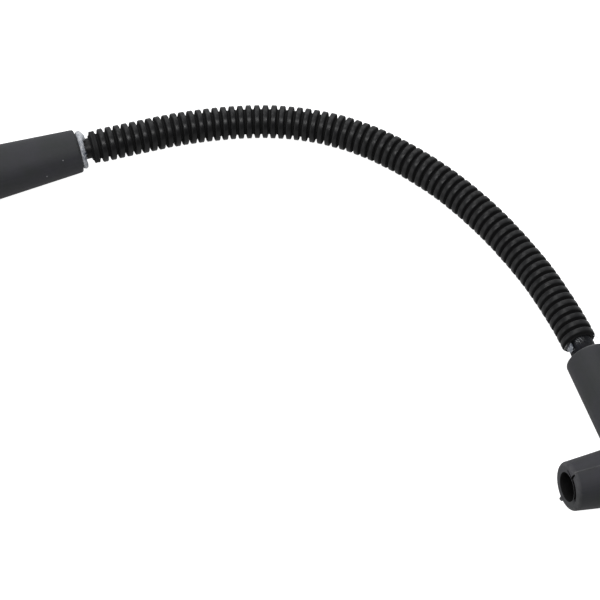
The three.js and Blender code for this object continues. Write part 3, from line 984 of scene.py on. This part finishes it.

# %% [markdown]
# ## Boot rubber
# The boots are a dark grey, matte rubber with a cool cast. It is faintly mottled and streaked, pale
# along the parting lines and on the neck's rim, with a painted highlight round the plug boot's mouth,
# and it carries a couple of white specks. The sockets and the mouth's groove have a blacker, duller
# finish of their own, a painted shade for the dark inside them.

# %% Boot rubber
boot_rubber, tree, shader = new_finish(
    "boot_rubber", Specular_IOR_Level=0.3, Sheen_Weight=0.04, Sheen_Roughness=0.5)
skin_grain = use_group(tree, grain, Scale=1500.0, Mottle_Scale=70.0)
skin_streak = use_group(tree, streak, Across=16.0, Lengthwise=0.05, Detail=4.0)
skin_speck = use_group(tree, speck, Scale=260.0, Size=0.05, Share=0.008)
tone = blend_colours(tree, skin_grain["Mottle"], (0.0135, 0.0158, 0.0146), (0.0214, 0.0206, 0.0272))
streaky = times(tree, skin_streak["Streak"], 0.55)
tone = blend_colours(tree, streaky, tone, (0.0275, 0.0275, 0.0295))
patchy = spread(tree, noise_of(tree, object_place(tree), 420.0, 2.0), 0.35, 0.65, 0.35, 1.3)
# paler marks, with a painted highlight round the plug boot's mouth
paler_and_painted_highlight = times(tree, kept(tree, "paler_and_painted_highlight"), patchy)
tone = blend_colours(tree, paler_and_painted_highlight, tone, (0.09, 0.09, 0.09))
stuck_crumbs = [(-0.05195, 0.09106, 0.01617), (-0.05932, 0.08868, 0.01204)]
crumb_heart = 0.0001
crumb_edge = 0.00034
crumbs = [
    node(tree, "ShaderNodeVectorMath", {"operation": "DISTANCE"}, i0=object_place(tree), i1=at)
    for at in stuck_crumbs
]
to_crumb = calculate(tree, "MINIMUM", *(crumb.outputs["Value"] for crumb in crumbs))
crumb = spread(tree, to_crumb, crumb_heart, crumb_edge, 1, 0)
white = calculate(tree, "MAXIMUM", skin_speck["Speck"], crumb)
tone = blend_colours(tree, white, tone, (0.2, 0.2, 0.21))
gloss = spread(tree, skin_streak["Streak"], 0, 1, 0.6, 0.72)
connect(tree, shader, Base_Color=tone, Roughness=gloss)
relief(tree, shader, skin_grain["Height"], 0.25, 0.0001)

# painted shade: a blacker, duller rubber for the bores and the mouth's groove, where shade falls
socket_painted_shade = moulded_finish(
    "socket_painted_shade", 0.08, (1500.0, 200.0), ((0.003, 0.003, 0.003), (0.006, 0.006, 0.006)),
    (0.7, 0.85), (0.25, 0.0001))
print("boot finishes:", boot_rubber.name, socket_painted_shade.name)

# %% [markdown]
# ## Loom plastic
# The loom is a satin black plastic. Its crests are a little grey, and the valleys and flanks are
# painted a deeper black as shade, so the colour follows how far a point stands out.

# %% Loom plastic
loom_plastic, tree, shader = new_finish("loom_plastic", Specular_IOR_Level=0.22)
loom_grain = use_group(tree, grain, Scale=2200.0, Mottle_Scale=160.0)
stands_out = spread(tree, kept(tree, "reach"), loom_crest - 0.5, loom_crest - 0.08)
tone = blend_colours(tree, loom_grain["Mottle"], (0.0045, 0.0045, 0.0047), (0.008, 0.008, 0.0084))
# painted shade: a deeper black in the valleys and on the flanks
tone = blend_colours(tree, stands_out, (0.0035, 0.0035, 0.0036), tone)
dust = use_group(tree, speck, Scale=500.0, Size=0.07, Share=0.004)
tone = blend_colours(tree, dust["Speck"], tone, (0.16, 0.16, 0.16))
torn_streak = use_group(tree, streak, Across=9.0, Lengthwise=1.2, Detail=4.0)
whitened = times(tree, kept(tree, "torn"), torn_streak["Streak"])
tone = blend_colours(tree, whitened, tone, (0.3, 0.3, 0.3))
satin = spread(tree, loom_grain["Mottle"], 0, 1, 0.3, 0.36)
in_valley = spread(tree, stands_out, 0, 1, 1, 0)
connect(tree, shader, Base_Color=tone, Roughness=calculate(tree, "MULTIPLY_ADD", in_valley, 0.5, satin))
relief(tree, shader, loom_grain["Height"], 0.12, 0.00006)
print("loom finish:", loom_plastic.name)

# %% [markdown]
# ## Cable finishes
# The jacket is smooth satin rubber, the insulation under it a pale matte one, and the core is a
# woven carbon string whose weave shows as a fine criss-cross.

# %% Cable finishes
jacket_rubber = moulded_finish(
    "jacket_rubber", 0.2, (1800.0, 120.0), ((0.003, 0.003, 0.0032), (0.006, 0.006, 0.0064)),
    (0.38, 0.5), (0.15, 0.00005))
pale_insulation = moulded_finish(
    "pale_insulation", 0.4, (1400.0, 100.0), ((0.34, 0.33, 0.31), (0.44, 0.43, 0.41)),
    (0.55, 0.68), (0.2, 0.00006))

carbon_core, tree, shader = new_finish("carbon_core", Specular_IOR_Level=0.5)
weave = [
    node(tree, "ShaderNodeTexWave", {"bands_direction": "DIAGONAL"}, Vector=object_place(tree), Scale=s,
         Distortion=0.4).outputs["Fac"]
    for s in (700.0, 910.0)
]
crossing = times(tree, *weave)
tone = blend_colours(tree, crossing, (0.02, 0.019, 0.018), (0.09, 0.086, 0.08))
connect(tree, shader, Base_Color=tone, Roughness=spread(tree, crossing, 0, 1, 0.6, 0.4))
relief(tree, shader, crossing, 0.5, 0.0001)
print("cable finishes:", jacket_rubber.name, pale_insulation.name, carbon_core.name)

# %% [markdown]
# ## Metal finishes
# Terminals are rolled from brass and steel sheet and the clips are spring wire. Bare metal is
# mostly reflection, so the colour varies little and the scratches do the work in gloss.

# %% Metal finishes
def sheet_metal(name, dark, light, smooth, rough, scale):
    material, tree, shader = new_finish(name, Metallic=1.0)
    marks = use_group(tree, scratch, Scale=scale, Stretch=0.06)
    cloud = use_group(tree, grain, Scale=1500.0, Mottle_Scale=240.0)
    tone = blend_colours(tree, cloud["Mottle"], dark, light)
    gloss = spread(tree, marks["Scratch"], 0, 1, smooth, rough)
    connect(tree, shader, Base_Color=tone, Roughness=gloss)
    relief(tree, shader, marks["Scratch"], 0.15, 0.00003)
    return material


terminal_brass = sheet_metal("terminal_brass", (0.5, 0.36, 0.16), (0.72, 0.55, 0.28), 0.22, 0.42, 1100.0)
terminal_steel = sheet_metal("terminal_steel", (0.42, 0.42, 0.41), (0.62, 0.62, 0.6), 0.24, 0.42, 1100.0)
spring_steel = sheet_metal("spring_steel", (0.36, 0.36, 0.36), (0.56, 0.56, 0.55), 0.18, 0.34, 1600.0)
print("metal finishes:", terminal_brass.name, terminal_steel.name, spring_steel.name)

# %% [markdown]
# ## Silicone
# The sealant has cured to a cloudy, bluish white. It is smeared with a little black from the
# rubber, so it is streaky, and light goes some way into it.

# %% Silicone
silicone, tree, shader = new_finish(
    "silicone", Specular_IOR_Level=0.45, Subsurface_Weight=0.2, Subsurface_Scale=0.001,
    Subsurface_Radius=(0.9, 0.95, 1.0))
smear = use_group(tree, streak, Across=9.0, Lengthwise=1.3, Detail=6.0)
cloud = use_group(tree, grain, Scale=1300.0, Mottle_Scale=420.0)
tone = blend_colours(tree, smear["Streak"], (0.12, 0.14, 0.17), (0.5, 0.51, 0.53))
cloudy = times(tree, cloud["Mottle"], 0.5)
tone = blend_colours(tree, cloudy, tone, (0.62, 0.62, 0.63))
between_streaks = spread(tree, smear["Streak"], 0.2, 0.9, 1, 0.35)
scraped = times(tree, kept(tree, "thin"), between_streaks)
tone = blend_colours(tree, scraped, tone, (0.03, 0.04, 0.06))
connect(tree, shader, Base_Color=tone, Roughness=spread(tree, smear["Streak"], 0, 1, 0.35, 0.6))
relief(tree, shader, cloud["Height"], 0.6, 0.0003)
print("silicone ready")

# %% [markdown]
# ## Black film
# The black sealant is wet-looking and very dark. Its pale flecks and its painted glint are thin
# streaks that show only where the mesh says so, and there only where the streaky noise is high.

# %% Black film
black_film, tree, shader = new_finish("black_film", Specular_IOR_Level=0.1)
film_streak = use_group(tree, streak, Across=22.0, Lengthwise=2.2, Detail=4.0)
film_grain = use_group(tree, grain, Scale=1600.0, Mottle_Scale=500.0)
tone = blend_colours(tree, film_grain["Mottle"], (0.0015, 0.0015, 0.0018), (0.006, 0.0065, 0.009))
streaks_high = spread(tree, film_streak["Streak"], 0.62, 0.85)
# pale flecks, and one painted glint among them
fleck_and_glint = times(tree, streaks_high, kept(tree, "flecks_and_glint"))
tone = blend_colours(tree, fleck_and_glint, tone, (0.42, 0.43, 0.44))
connect(tree, shader, Base_Color=tone, Roughness=spread(tree, film_grain["Mottle"], 0, 1, 0.4, 0.6))
relief(tree, shader, film_grain["Mottle"], 0.6, 0.0002)
print("black film ready")

# %% [markdown]
# ## Putting the finishes on
# A boot takes two materials: rubber outside, and on the faces of its bore and groove the socket's
# darker finish, a painted shade for the dark inside them. The other pieces take one each, and so do
# the solids that show as they are.

# %% Put the finishes on
def finish(piece, material):
    piece.data.materials.clear()
    piece.data.materials.append(material)


def finish_bores(piece, material, bore_radius, extra=None):
    """Puts a second material on the faces inside a bore, and on those where extra is high."""
    piece.data.materials.append(material)
    inside = (values_of(piece, "reach") < bore_radius + 0.15) & (values_of(piece, "along") > edge_round)
    if extra is not None:
        inside = inside | (extra > 0.3)
    for face in piece.data.polygons:
        face.material_index = int(sum(inside[v] for v in face.vertices) >= 2)


for piece in (coil_boot, plug_boot, nib):
    finish(piece, boot_rubber)
# painted shade: the bores and the groove take the darker socket finish
finish_bores(coil_boot, socket_painted_shade, tower_socket_radius)
finish_bores(plug_boot, socket_painted_shade, insulator_socket_radius, sunk)
finish(loom, loom_plastic)
finish(jacket, jacket_rubber)
for piece in (coil_bead, scrap, thread):
    finish(piece, silicone)
finish(film, black_film)
node_finishes = {
    "cable_insulation": pale_insulation,
    "cable_conductor": carbon_core,
    "coil_terminal": terminal_brass,
    "plug_terminal": terminal_steel,
    "coil_spring_clip": spring_steel,
    "plug_spring_clip": spring_steel,
}
for name, material in node_finishes.items():
    finish(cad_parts[name], material)
print("carried over from the solids:", ", ".join(node_finishes))

# %% [markdown]
# ## Floor and light
# A product photograph of black rubber is taken on white paper with light from all round, bright
# behind the object and dim in front of it. The paper glows, so that no shadow shows on it, but it
# lights the object less than it shows.

# %% Floor
paper_half = 6.0
paper_below = 0.0002
floor_mesh = bpy.data.meshes.new("paper")
corners = [(x * paper_half, y * paper_half, 0) for x, y in ((-1, -1), (1, -1), (1, 1), (-1, 1))]
floor_mesh.from_pydata(corners, [], [(0, 1, 2, 3)])
floor = bpy.data.objects.new("paper", floor_mesh)
floor.location.z = -paper_below
bpy.context.scene.collection.objects.link(floor)
paper, tree, shader = new_finish("white_paper", Specular_IOR_Level=0.1, Emission_Color=(1, 1, 1, 1))
paper_noise = noise_of(tree, object_place(tree), 900.0, 3.0)
tone = blend_colours(tree, paper_noise, (0.36, 0.36, 0.36), (0.4, 0.4, 0.4))
connect(tree, shader, Base_Color=tone, Roughness=spread(tree, paper_noise, 0, 1, 0.8, 0.95))
seen_directly = node(tree, "ShaderNodeLightPath").outputs["Is Camera Ray"]
connect(tree, shader, Emission_Strength=spread(tree, seen_directly, 0, 1, 0.2, 0.98))
finish(floor, paper)
print("paper", 2 * paper_half, "m wide")

# %% [markdown]
# Three small softboxes over the lead put the short gleam on each crest of the loom. Two large ones,
# behind and on the left, light the boots' sides, and the sky is pale behind and dim in front.

# %% Lights
def softbox(name, place, size, watts):
    """A flat rectangular lamp that faces the middle of the lead."""
    light = bpy.data.lights.new(name, "AREA")
    light.shape = "RECTANGLE"
    light.size, light.size_y = size
    light.energy = watts
    lamp = bpy.data.objects.new(name, light)
    lamp.location = place
    lamp.rotation_euler = (-Vector(place)).to_track_quat("-Z", "Y").to_euler()
    bpy.context.scene.collection.objects.link(lamp)


softbox("softbox_by_camera", (0.03, -0.38, 1.12), (0.6, 0.28), 6.5)
softbox("softbox_over_left", (-0.44, -0.04, 1.1), (0.28, 0.28), 3.0)
softbox("softbox_over_back", (-0.06, 0.58, 1.05), (0.34, 0.34), 1.9)
softbox("softbox_behind", (0.5, 1.3, 0.9), (1.2, 0.8), 5)
softbox("softbox_left", (-1.3, -0.1, 0.35), (1.6, 1.0), 6)

world = bpy.data.worlds.new("pale_studio")
world.use_nodes = True
sky = world.node_tree
towards_back = node(sky, "ShaderNodeVectorMath", {"operation": "DOT_PRODUCT"}, i1=(0.05, 1.0, 0.0))
sky.links.new(node(sky, "ShaderNodeTexCoord").outputs["Generated"], towards_back.inputs[0])
background = sky.nodes["Background"]
background.inputs["Color"].default_value = (0.95, 0.97, 1.0, 1)
brightness = spread(sky, towards_back.outputs["Value"], -0.7, 0.7, 0.15, 0.75)
sky.links.new(brightness, background.inputs["Strength"])
bpy.context.scene.world = world
bpy.context.scene.view_settings.view_transform = "Standard"
print("floor, five softboxes and a pale sky")
